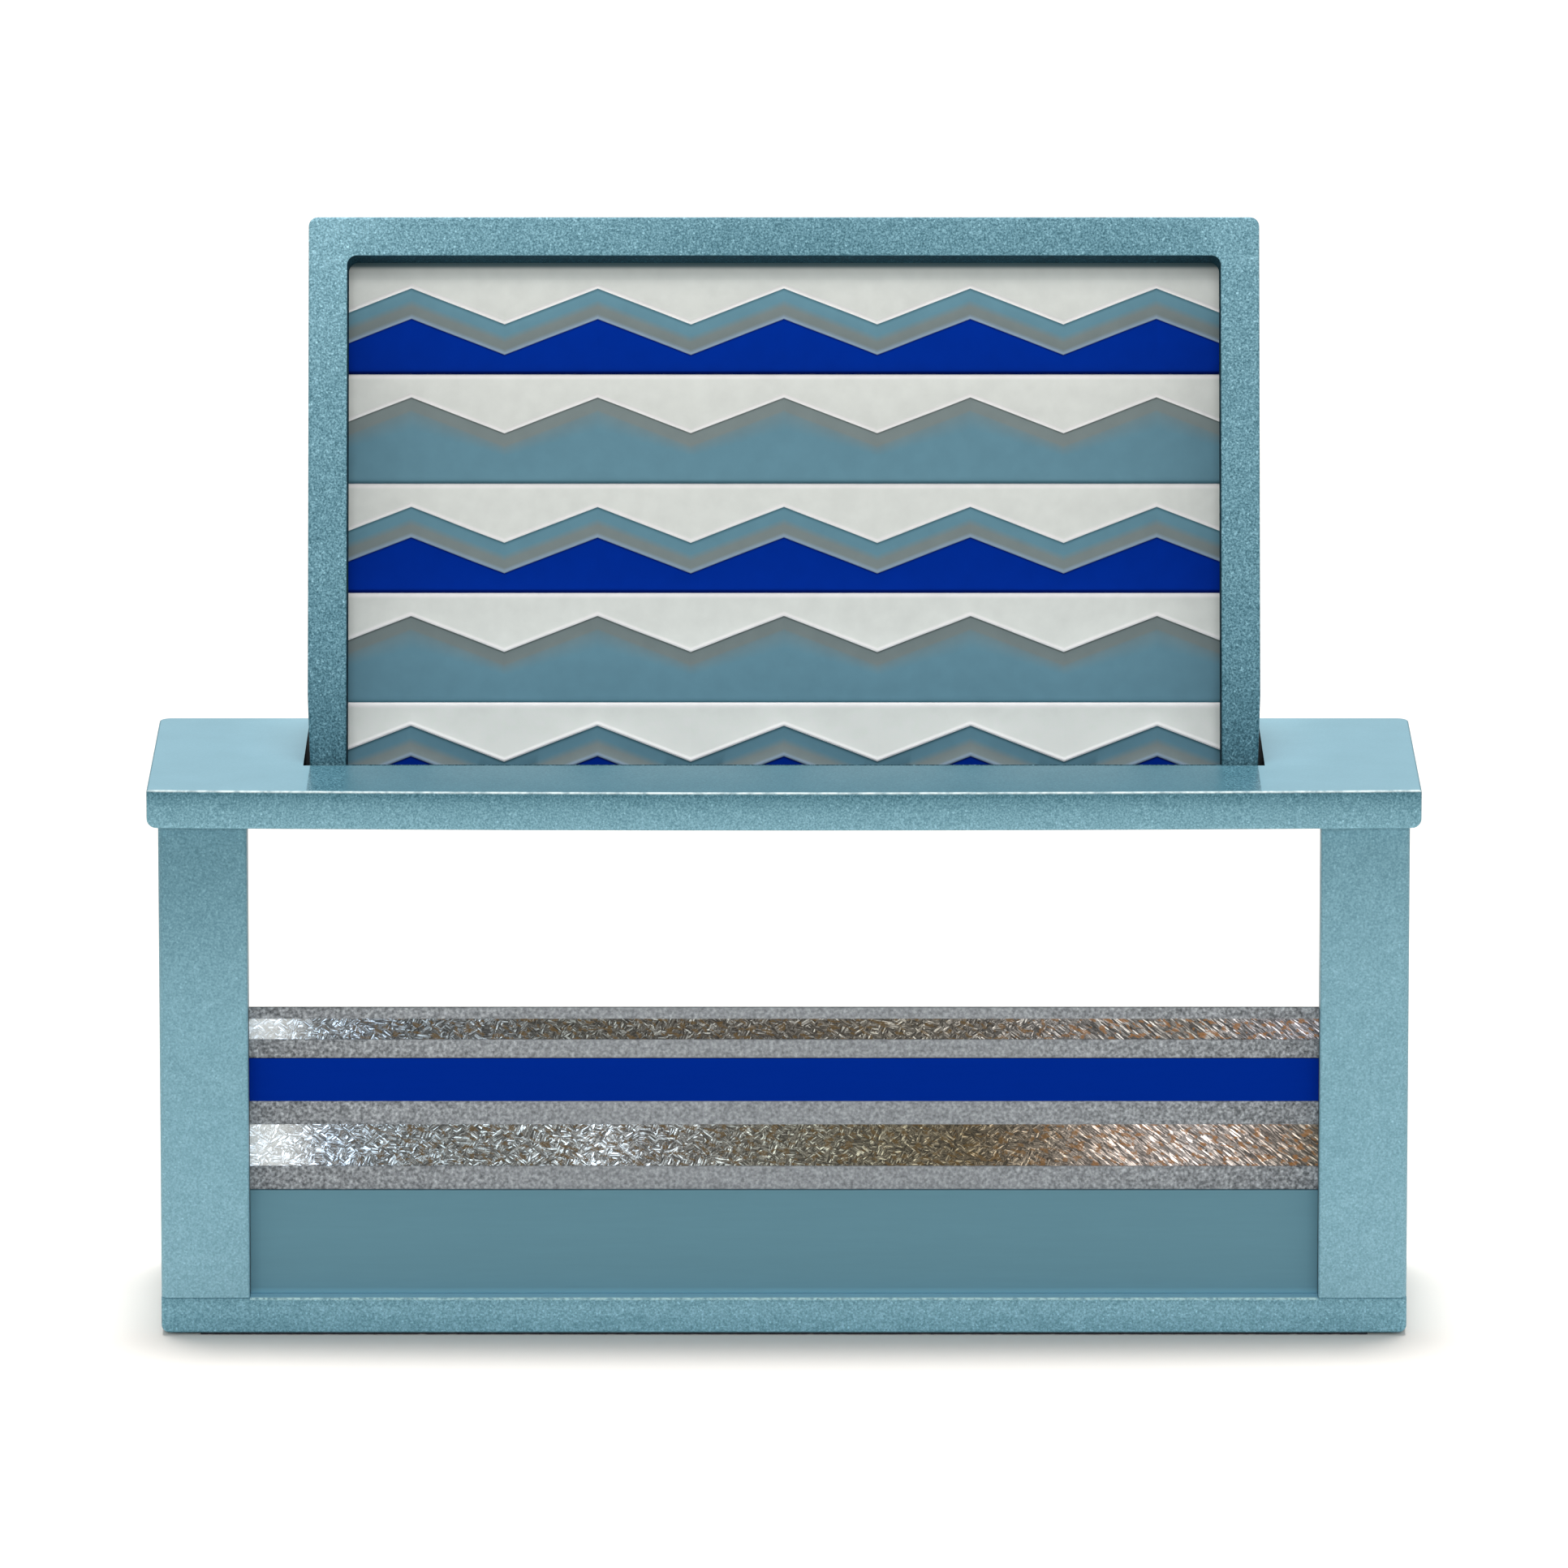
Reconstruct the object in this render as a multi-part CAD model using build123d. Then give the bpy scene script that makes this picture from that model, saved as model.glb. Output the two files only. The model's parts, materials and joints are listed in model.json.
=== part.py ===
from build123d import *
import os
from math import cos, radians, sin

# A two-tier wooden washboard, in millimetres.
# The stand is a low carcass: a shelf board on two posts and two side boards, with a
# bottom board below and a striped splash panel behind the posts. The rub frame is a
# separate deep frame with a pressed zigzag rub sheet. It stands in a notch in the shelf,
# leans back on a rest rail and lifts out along its own slope.
#
# While it is built, the model's Y = 0 is at the shelf's front corners and Z = 0 is the
# surface that it stands on. At the end everything moves in Y, so that the origin is the
# middle of the whole footprint.

# ---- driving dimensions: stand ----
SHELF_T, BASE_T = 12.4, 11.4
SHELF_W = 401.5
SHELF_D = 115.5         # at the ends
BOW = 4.0               # how far the middle of the shelf's front edge swells out
OVERHANG = 3.4          # shelf beyond the posts, at the front corners and both ends
POST_W, POST_T, POST_H = 28.0, 14.0, 152.6
SIDE_T = 12.0
STAND_BACK = 108.0      # rear face of the side boards and the bottom board
FELT_T, FELT_D, FELT_L = 0.8, 12.0, 370.0

# ---- driving dimensions: rub frame ----
LEAN = 16.0             # degrees back from upright
FRAME_W = 302.3
FRAME_H = 174.7         # along the slope, above the shelf
FRAME_T = 34.0
MEMBER_W = 12.3         # visible width of the stiles and the top rail
FRAME_FOOT_Y = 40.0     # the frame's front face, level with the top of the shelf
NOTCH_FRONT_Y = 38.5
NOTCH_SIDE_GAP = 1.3
FOOT_TAPER = 0.84       # how much each stile has narrowed on its outside, level with the shelf
FOOT_TAPER_H = 22.0     # height above the shelf where it starts to narrow
REST_GAP = 0.2          # between the frame's foot and the slot floor
LEAN_GAP = 0.5          # between the frame's back and the rest rail
GROOVE_Y, GROOVE_T, GROOVE_DEPTH = 22.0, 6.0, 4.0

# ---- driving dimensions: rub sheet ----
SHEET_T = 1.1
ROW_PITCH = 35.02
ROWS_DROP = 0.57        # the first row's top edge, below the top rail
ZIGZAG_PERIOD = 59.45
ZIGZAG_RISE = 11.5
WHITE_AT_PEAK = 7.6     # height of the white field above a peak
BAND_H = 9.65           # height of the zigzag band in the three-colour rows
BAND_STEP, BLUE_STEP, PLAIN_STEP = 0.8, 1.6, 1.0   # depth behind the white field

# ---- driving dimensions: splash panel, strips from the top down ----
STRIPE_TOP_Z = 104.9
BACKING_DROP = 1.0      # top of the backing board, below the top strip
STRIPE_BACKING_T = 3.0
REBATE_DEPTH, REBATE_W = 6.0, 10.0     # in the posts' backs, for the backing board
STRIPES = [
    ("grey_strip_1", 3.7, 1.2),
    ("crackle_strip_1", 6.65, 0.8),
    ("grey_strip_2", 6.05, 1.2),
    ("blue_strip", 13.85, 1.6),
    ("grey_strip_3", 7.7, 1.2),
    ("crackle_strip_2", 13.45, 0.8),
    ("grey_strip_4", 7.65, 1.2),
]
TEAL_STRIP_T = 2.0

# ---- driving dimensions: frame support ----
SLOT_FLOOR_T, SLOT_FLOOR_FRONT, SLOT_FLOOR_BACK = 7.5, 37.0, 113.0
SLOT_FLOOR_HALF_W = 182.0
BRACKET_X, BRACKET_T = 90.0, 12.0
REST_T, REST_LOW, REST_HIGH, REST_HALF_W = 8.0, 32.0, 52.0, 110.0

# ---- sizes that follow ----
STAND_HALF_W = SHELF_W / 2 - OVERHANG
WINDOW_HALF_W = STAND_HALF_W - POST_W
FLOOR_Z = FELT_T + BASE_T               # top of the bottom board
SHELF_Z = FLOOR_Z + POST_H              # underside of the shelf
SHELF_TOP = SHELF_Z + SHELF_T
POST_BACK = OVERHANG + POST_T
STRIPE_Y = POST_BACK - REBATE_DEPTH     # front face of the backing board
BACKING_TOP = STRIPE_TOP_Z - BACKING_DROP
SIGHT_HALF_W = FRAME_W / 2 - MEMBER_W
SIGHT_H = FRAME_H - MEMBER_W
LEANED = Pos(0, FRAME_FOOT_Y, SHELF_TOP) * Rot(-LEAN, 0, 0)
BELOW = 40.0            # how far a leaning blank runs on below the shelf before it is cut level
FAR = 500.0             # larger than the object


def block(x0, x1, y0, y1, z0, z1):
    """A box between two corners."""
    return Pos((x0 + x1) / 2, (y0 + y1) / 2, (z0 + z1) / 2) * Box(x1 - x0, y1 - y0, z1 - z0)


def prism_x(points, x0, x1):
    """A Y-Z outline extruded along X from x0 to x1."""
    face = Plane.YZ * make_face(Polyline(*points, close=True))
    return Pos(x0, 0, 0) * extrude(face, x1 - x0)


def prism_y(points, y0, y1):
    """An X-Z outline extruded along Y from y0 to y1."""
    outline = [(x, y0, z) for x, z in points]
    return extrude(make_face(Polyline(*outline, close=True)), y1 - y0, dir=(0, 1, 0))


def edges_at(shape, axis, position):
    """The edges that lie in the plane at that position along an axis."""
    return shape.edges().filter_by_position(axis, position - 0.01, position + 0.01)


def leaned_y(w, z):
    """Y of the plane w behind the frame's front face, at height z."""
    slope = radians(LEAN)
    along = (z - SHELF_TOP + w * sin(slope)) / cos(slope)
    return FRAME_FOOT_Y + along * sin(slope) + w * cos(slope)


# ---- fasteners ----
def wood_screw(length, head_d=6.4, shank_d=3.4, slotted=True):
    """A countersunk screw with its head's face at Z = 0 and its tip at Z = length."""
    head_h = (head_d - shank_d) / 2
    tip = 3.0
    profile = Plane.XZ * make_face(Polyline(
        (0, 0), (head_d / 2, 0), (shank_d / 2, head_h), (shank_d / 2, length - tip),
        (0.3, length), (0, length), close=True))
    screw = revolve(profile, Axis.Z)
    if slotted:
        screw -= block(-head_d, head_d, -0.5, 0.5, -1, 0.8)
    return screw


def brad(length=8.0, head_d=3.2, shank_d=1.4, head_h=0.6):
    """A panel nail with its head's face at Z = 0 and its tip at Z = length."""
    profile = Plane.XZ * make_face(Polyline(
        (0, 0), (head_d / 2, 0), (head_d / 2, head_h), (shank_d / 2, head_h),
        (shank_d / 2, length - 1.5), (0, length), close=True))
    return revolve(profile, Axis.Z)


def dowel(length, diameter):
    """A plain dowel along Z with its middle at the origin."""
    peg = Cylinder(diameter / 2, length)
    return chamfer(peg.edges(), 0.4)


def placed(make, places):
    """One copy of a fastener at each place, as a list of solids."""
    return [place * make for place in places]


def drilled(part, fasteners):
    for fastener in fasteners:
        part -= fastener
    return part


# ---- stand ----
def shelf_blank():
    """The shelf: its front swells out in a shallow arc, and its ends are rounded below."""
    half = SHELF_W / 2
    outline = Polyline((half, 0), (half, SHELF_D), (-half, SHELF_D), (-half, 0))
    outline += ThreePointArc((-half, 0), (0, -BOW), (half, 0))
    shelf = Pos(0, 0, SHELF_Z) * extrude(make_face(outline), SHELF_T)
    shelf = fillet(shelf.edges().filter_by(Axis.Z).group_by(Axis.Y)[-1], 4.0)
    low = shelf.faces().sort_by(Axis.Z)[0].edges()
    shelf = fillet([e for e in low if abs(e.center().X) > half - 0.1], 3.0)
    shelf = fillet(shelf.edges().filter_by(Axis.Z).group_by(Axis.Y)[0], 1.0)
    return fillet(shelf.faces().sort_by(Axis.Z)[-1].edges(), 0.8)


def notch_tool():
    """The notch's space: its front wall leans like the frame, and its back is open."""
    half = FRAME_W / 2 + NOTCH_SIDE_GAP
    front_gap = (FRAME_FOOT_Y - NOTCH_FRONT_Y) * cos(radians(LEAN))
    top, low = SHELF_TOP + 5, SHELF_Z - 5
    return prism_x([(leaned_y(-front_gap, low), low), (SHELF_D + 5, low),
                    (SHELF_D + 5, top), (leaned_y(-front_gap, top), top)], -half, half)


def post(side):
    outer, inner = side * STAND_HALF_W, side * WINDOW_HALF_W
    x0, x1 = sorted((outer, inner))
    shape = block(x0, x1, OVERHANG, POST_BACK, FLOOR_Z, SHELF_Z)
    front = shape.edges().filter_by(Axis.Z).group_by(Axis.Y)[0]
    outer_edge = front.sort_by(Axis.X)[0 if side < 0 else -1]
    shape = fillet([outer_edge], 2.5)
    front = shape.edges().filter_by(Axis.Z).group_by(Axis.Y)[0]
    inner_edge = front.sort_by(Axis.X)[-1 if side < 0 else 0]
    shape = fillet([inner_edge], 0.8)
    r0, r1 = sorted((inner - side, inner + side * REBATE_W))
    return shape - block(r0, r1, STRIPE_Y, POST_BACK + 1, FLOOR_Z - 1, BACKING_TOP)


def side_board(side):
    outer, inner = side * STAND_HALF_W, side * (STAND_HALF_W - SIDE_T)
    x0, x1 = sorted((outer, inner))
    shape = block(x0, x1, POST_BACK, STAND_BACK, FLOOR_Z, SHELF_Z)
    return fillet(shape.edges().filter_by(Axis.Z).group_by(Axis.Y)[-1], 1.5)


def bottom_board():
    shape = block(-STAND_HALF_W, STAND_HALF_W, OVERHANG, STAND_BACK, FELT_T, FLOOR_Z)
    ends = shape.edges().filter_by(Axis.Y).group_by(Axis.Z)[0]
    shape = fillet(ends, 2.5)
    front = shape.faces().sort_by(Axis.Y)[0].edges()
    return fillet(front, 0.8)


def felt_strip(y0):
    shape = block(-FELT_L / 2, FELT_L / 2, y0, y0 + FELT_D, 0, FELT_T)
    return fillet(shape.edges().filter_by(Axis.Z), 2.0)


def slot_floor():
    shape = block(-SLOT_FLOOR_HALF_W, SLOT_FLOOR_HALF_W, SLOT_FLOOR_FRONT, SLOT_FLOOR_BACK,
                  SHELF_Z - SLOT_FLOOR_T, SHELF_Z)
    low_front = shape.edges().filter_by(Axis.X).group_by(Axis.Z)[0].sort_by(Axis.Y)[0]
    return chamfer(low_front, 4.0)


def bracket(side):
    """A gusset that stands on the slot floor, with its front edge along the frame's slope."""
    w = FRAME_T + LEAN_GAP + REST_T
    slope = radians(LEAN)
    top_z = SHELF_TOP + REST_HIGH * cos(slope) - w * sin(slope)
    top_y = leaned_y(w, top_z)
    outline = [(leaned_y(w, SHELF_Z), SHELF_Z), (SLOT_FLOOR_BACK - 1, SHELF_Z),
               (SLOT_FLOOR_BACK - 1, SHELF_Z + 12), (top_y + 9, top_z), (top_y, top_z)]
    x = side * BRACKET_X
    shape = prism_x(outline, x - BRACKET_T / 2, x + BRACKET_T / 2)
    rear = [e for e in shape.edges().filter_by(Axis.X)
            if e.center().Z > SHELF_Z + 6 and e.center().Y > top_y + 4]
    return fillet(rear, 3.0)


def rest_rail():
    shape = block(-REST_HALF_W, REST_HALF_W, FRAME_T + LEAN_GAP, FRAME_T + LEAN_GAP + REST_T,
                  REST_LOW, REST_HIGH)
    shape = fillet(shape.edges().filter_by(Axis.Y), 3.0)
    return LEANED * fillet(shape.faces().sort_by(Axis.Y)[0].edges(), 1.2)


# ---- splash panel ----
def stripe_parts():
    """The backing board and the strips glued to it, as a dict of node name to solid."""
    parts = {"stripe_backing_board": block(
        -WINDOW_HALF_W - REBATE_W, WINDOW_HALF_W + REBATE_W, STRIPE_Y,
        STRIPE_Y + STRIPE_BACKING_T, FLOOR_Z, BACKING_TOP)}
    half = WINDOW_HALF_W - 0.15
    top = STRIPE_TOP_Z
    for name, height, thick in STRIPES:
        parts[name] = block(-half, half, STRIPE_Y - thick, STRIPE_Y, top - height, top)
        top -= height
    parts["teal_strip"] = block(-half, half, STRIPE_Y - TEAL_STRIP_T, STRIPE_Y, FLOOR_Z, top)
    for name in parts:
        if name != "stripe_backing_board":
            front = parts[name].faces().sort_by(Axis.Y)[0].edges().filter_by(Axis.X)
            parts[name] = fillet(front, 0.3)
    return parts


# ---- rub frame, in its own upright frame: X across, Y back, Z up the slope ----
def cut_level(shape):
    """Leans a rub-frame piece back and cuts its foot level, just above the slot floor."""
    floor = SHELF_Z + REST_GAP
    return LEANED * shape - block(-FAR, FAR, -FAR, FAR, floor - FAR, floor)


def in_sight(edge):
    """Whether an edge of the frame lies on its sight line, not on its outside."""
    middle = edge.center()
    return abs(middle.X) < SIGHT_HALF_W + 1 and middle.Z < SIGHT_H + 1


def frame_arch():
    """Both stiles and the top rail in one, with tapered feet and the rub sheet's groove."""
    half = FRAME_W / 2
    foot = half - FOOT_TAPER * (FOOT_TAPER_H + BELOW) / FOOT_TAPER_H
    shape = prism_y([(half, FRAME_H), (-half, FRAME_H), (-half, FOOT_TAPER_H), (-foot, -BELOW),
                     (foot, -BELOW), (half, FOOT_TAPER_H)], 0, FRAME_T)
    shape = fillet(shape.edges().filter_by(Axis.Y).group_by(Axis.Z)[-1], 3.0)
    sight = block(-SIGHT_HALF_W, SIGHT_HALF_W, -1, FRAME_T + 1, -BELOW - 10, SIGHT_H)
    sight = fillet(sight.edges().filter_by(Axis.Y).group_by(Axis.Z)[-1], 3.0)
    shape -= sight
    for y in (0, FRAME_T):
        edges = [e for e in edges_at(shape, Axis.Y, y) if in_sight(e)]
        shape = fillet(edges, 0.4)
        edges = [e for e in edges_at(shape, Axis.Y, y)
                 if not in_sight(e) and e.center().Z > 1 - BELOW]
        shape = fillet(edges, 0.9)
    groove_half = SIGHT_HALF_W + GROOVE_DEPTH
    return shape - block(-groove_half, groove_half, GROOVE_Y, GROOVE_Y + GROOVE_T,
                         -BELOW - 10, SIGHT_H + GROOVE_DEPTH)


def mitre_tool():
    """The wedge between the two top mitres."""
    reach = FRAME_W / 2 + 20
    top = FRAME_H + 20
    return prism_y([(-reach, top), (reach, top), (0, top - reach)], -5, FRAME_T + 5)


def bottom_rail_blank():
    """A rail with a low front lip, the sheet's groove and a taller back."""
    back = GROOVE_Y + GROOVE_T
    outline = [(0, -BELOW), (FRAME_T, -BELOW), (FRAME_T, 8.0), (back, 8.0), (back, -3.0),
               (GROOVE_Y, -3.0), (GROOVE_Y, 0), (0, 0)]
    return prism_x(outline, -SIGHT_HALF_W, SIGHT_HALF_W)


def mitre_dowel_places():
    """Two dowels square through each top mitre, one each side of the sheet's groove."""
    x, z = SIGHT_HALF_W + MEMBER_W / 2, SIGHT_H + MEMBER_W / 2
    return [Pos(side * x, y, z) * Rot(0, side * 135, 0) for side in (-1, 1) for y in (11.0, 31.0)]


def rail_dowel_places():
    """Two dowels through each end of the bottom rail."""
    return [Pos(side * (SIGHT_HALF_W - 1), y, z) * Rot(0, 90, 0)
            for side in (-1, 1) for y, z in ((11.0, -4.6), (31.0, 2.8))]


# ---- rub sheet ----
def zigzag(top, drop):
    """The points of a zigzag edge from left to right: its peaks are drop below top."""
    count = int(SIGHT_HALF_W / ZIGZAG_PERIOD) + 1
    points = []
    for half_turn in range(-2 * count, 2 * count + 1):
        low = ZIGZAG_RISE if half_turn % 2 else 0.0
        points.append((half_turn * ZIGZAG_PERIOD / 2, top - drop - low))
    return points


def sheet_level(upper, lower, step):
    """One level of the pressed sheet between two edges, step behind the white fields."""
    front = GROOVE_Y + 0.05 + step
    return prism_y(upper + lower[::-1], front, front + SHEET_T)


def rub_sheet():
    """Rows of stepped zigzag fields, pressed from one sheet, cut to the frame's groove."""
    shape = None
    row, top = 0, SIGHT_H - ROWS_DROP
    span = int(SIGHT_HALF_W / ZIGZAG_PERIOD) + 1
    reach = span * ZIGZAG_PERIOD
    while top > 0:
        base = top - ROW_PITCH
        head = SIGHT_H + GROOVE_DEPTH if row == 0 else top
        straight = [(-reach, head), (reach, head)]
        foot = [(-reach, base), (reach, base)]
        edge = zigzag(top, WHITE_AT_PEAK)
        pieces = [sheet_level(straight, edge, 0)]
        if row % 2 == 0:
            second = zigzag(top, WHITE_AT_PEAK + BAND_H)
            pieces.append(sheet_level(edge, second, BAND_STEP))
            pieces.append(sheet_level(second, foot, BLUE_STEP))
        else:
            pieces.append(sheet_level(edge, foot, PLAIN_STEP))
        front = GROOVE_Y + 0.05
        pieces.append(block(-reach, reach, front, front + BLUE_STEP + SHEET_T,
                            top - SHEET_T, top))
        for piece in pieces:
            shape = piece if shape is None else shape + piece
        row, top = row + 1, base
    half = SIGHT_HALF_W + GROOVE_DEPTH - 0.3
    trim = block(-half, half, 0, FRAME_T, -2.8, SIGHT_H + GROOVE_DEPTH - 0.3)
    return shape & trim


def sheet_backing():
    half = SIGHT_HALF_W + GROOVE_DEPTH - 0.3
    front = GROOVE_Y + 0.05 + BLUE_STEP + SHEET_T + 0.05
    return block(-half, half, front, GROOVE_Y + GROOVE_T - 0.1,
                 -2.8, SIGHT_H + GROOVE_DEPTH - 0.3)


# ---- assembly ----
def stand_parts():
    side_x = STAND_HALF_W - SIDE_T / 2
    post_x = STAND_HALF_W - POST_W / 2
    post_y = OVERHANG + POST_T / 2
    corners = [(s * side_x, y) for s in (-1, 1) for y in (42.0, 92.0)]
    corners += [(s * post_x, post_y) for s in (-1, 1)]

    shelf_dowels = placed(dowel(22.0, 6.0), [Pos(x, y, SHELF_Z - 3) for x, y in corners])
    bottom_screws = placed(wood_screw(34.0), [Pos(x, y, FELT_T) for x, y in corners])
    floor_screws = placed(wood_screw(16.0), [
        Pos(s * 168.0, y, SHELF_Z - SLOT_FLOOR_T) for s in (-1, 1) for y in (56.0, 96.0)])
    bracket_screws = placed(wood_screw(22.0), [
        Pos(s * BRACKET_X, y, SHELF_Z - SLOT_FLOOR_T) for s in (-1, 1) for y in (89.0, 105.0)])
    up = (REST_LOW + REST_HIGH) / 2
    rest_screws = [LEANED * Pos(s * BRACKET_X, FRAME_T + LEAN_GAP, up) * Rot(-90, 0, 0)
                   * wood_screw(17.0) for s in (-1, 1)]
    nail_y = STRIPE_Y + STRIPE_BACKING_T
    nail_x = WINDOW_HALF_W + REBATE_W / 2
    nails = placed(Rot(90, 0, 0) * brad(), [
        Pos(s * nail_x, nail_y, z) for s in (-1, 1) for z in (24.0, 58.0, 92.0)])

    parts = {
        "shelf_board": drilled(shelf_blank() - notch_tool(), shelf_dowels + floor_screws),
        "bottom_board": drilled(bottom_board(), bottom_screws),
        "slot_floor": drilled(slot_floor(), floor_screws + bracket_screws),
        "rest_rail": drilled(rest_rail(), rest_screws),
        "felt_strip_front": felt_strip(OVERHANG + 1.0),
        "felt_strip_rear": felt_strip(STAND_BACK - 1.0 - FELT_D),
    }
    for side, name in ((-1, "left"), (1, "right")):
        parts[f"{name}_post"] = drilled(post(side), shelf_dowels + bottom_screws + nails)
        parts[f"{name}_side_board"] = drilled(side_board(side), shelf_dowels + bottom_screws)
        parts[f"rest_bracket_{name}"] = drilled(bracket(side), bracket_screws + rest_screws)
    parts.update(stripe_parts())
    parts["stripe_backing_board"] = drilled(parts["stripe_backing_board"], nails)
    parts["shelf_dowels"] = Compound(shelf_dowels)
    parts["bottom_screws"] = Compound(bottom_screws)
    parts["slot_floor_screws"] = Compound(floor_screws)
    parts["bracket_screws"] = Compound(bracket_screws)
    parts["rest_rail_screws"] = Compound(rest_screws)
    parts["stripe_board_nails"] = Compound(nails)
    return parts


def rub_frame_parts():
    mitre_dowels = placed(dowel(10.0, 4.0), mitre_dowel_places())
    rail_dowels = placed(dowel(14.0, 4.0), rail_dowel_places())
    arch, wedge = frame_arch(), mitre_tool()
    stiles = drilled(arch - wedge, mitre_dowels + rail_dowels)
    pieces = {
        "frame_top_rail": drilled(arch & wedge, mitre_dowels),
        "frame_bottom_rail": drilled(bottom_rail_blank(), rail_dowels),
    }
    for side, name in ((-1, "left"), (1, "right")):
        x0, x1 = sorted((0, side * FAR))
        pieces[f"frame_{name}_stile"] = stiles & block(x0, x1, -FAR, FAR, -FAR, FAR)
    parts = {name: cut_level(piece) for name, piece in pieces.items()}
    parts["rub_sheet"] = LEANED * rub_sheet()
    parts["sheet_backing_board"] = LEANED * sheet_backing()
    parts["frame_mitre_dowels"] = Compound([LEANED * d for d in mitre_dowels])
    parts["bottom_rail_dowels"] = Compound([LEANED * d for d in rail_dowels])
    return parts


def main():
    parts = {**stand_parts(), **rub_frame_parts()}
    boxes = [part.bounding_box() for part in parts.values()]
    middle = (min(b.min.Y for b in boxes) + max(b.max.Y for b in boxes)) / 2
    print(f"shelf front corners at Y = {-middle:.3f}, shelf top at Z = {SHELF_TOP:.3f}")
    os.makedirs("parts", exist_ok=True)
    for name, part in parts.items():
        export_step(Pos(0, -middle, 0) * part, f"parts/{name}.step")


main()
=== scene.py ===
"""A two-tier washboard: a framed zigzag rub sheet that leans back in the notched shelf of a low stand.

The CAD nodes keep their shapes and get painted here. Three kinds of piece are made again in finer mesh:
the pressed rub sheet, the two crackled foil strips and the two felt strips. Lengths are in metres.
"""
import json
import math

import bmesh
import bpy
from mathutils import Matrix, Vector, noise


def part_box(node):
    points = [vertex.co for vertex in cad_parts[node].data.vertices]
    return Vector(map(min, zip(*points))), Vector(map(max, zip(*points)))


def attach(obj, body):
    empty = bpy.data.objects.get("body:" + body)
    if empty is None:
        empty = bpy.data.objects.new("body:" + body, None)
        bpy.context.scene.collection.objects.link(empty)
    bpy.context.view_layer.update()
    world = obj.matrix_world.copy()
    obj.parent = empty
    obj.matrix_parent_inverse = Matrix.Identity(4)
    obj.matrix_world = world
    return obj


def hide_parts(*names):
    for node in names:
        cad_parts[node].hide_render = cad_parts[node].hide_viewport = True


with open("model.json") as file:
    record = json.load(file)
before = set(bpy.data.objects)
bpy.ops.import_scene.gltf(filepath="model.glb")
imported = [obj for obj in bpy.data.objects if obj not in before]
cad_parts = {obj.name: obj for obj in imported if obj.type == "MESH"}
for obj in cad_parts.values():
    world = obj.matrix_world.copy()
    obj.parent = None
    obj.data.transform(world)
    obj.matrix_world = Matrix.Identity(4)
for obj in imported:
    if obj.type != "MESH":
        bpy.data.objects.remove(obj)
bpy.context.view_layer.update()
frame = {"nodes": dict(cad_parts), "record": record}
nodes = frame["nodes"]

MM = 0.001
BOW = 4.0 * MM                  # how far the shelf's front edge swells out in the middle
SHELF_LOW, SHELF_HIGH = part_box("shelf_board")
SHELF_FRONT = SHELF_LOW[1] + BOW    # at the front corners
SHELF_TOP = SHELF_HIGH[2]
BASE_LOW, BASE_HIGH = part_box("bottom_board")
FRAME_HALF_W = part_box("frame_top_rail")[1][0]
SIGHT_HALF_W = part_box("frame_bottom_rail")[1][0]
WINDOW_HALF_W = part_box("blue_strip")[1][0]

# The rub frame leans back; its own axes are across, up the slope, and depth behind its front face.
LEAN = math.radians(16)
FOOT_SETBACK = 40 * MM          # from the shelf's front edge to the frame's front face
SIGHT_H = 162.4 * MM            # from the shelf to the top rail's lower edge, up the slope


# ---------------------------------------------------------------- colours
# What the studio gives an upright face in red, green and blue, where the white floor gets 1, and what
# it gives the rub sheet, deep in its frame.
FRONT_LIGHT = (1.05, 0.995, 0.955)
SHEET_LIGHT = (0.86, 0.84, 0.8)


def srgb(r, g, b):
    """A colour given in 0 to 255 steps, as the linear values that a shader wants."""
    def linear(c):
        c /= 255
        return c / 12.92 if c <= 0.04045 else ((c + 0.055) / 1.055) ** 2.4
    return (linear(r), linear(g), linear(b), 1.0)


def seen(r, g, b, light=FRONT_LIGHT):
    """The paint that shows as this colour in that light."""
    return tuple(min(c / lit, 0.95) for c, lit in zip(srgb(r, g, b), light)) + (1.0,)


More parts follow.
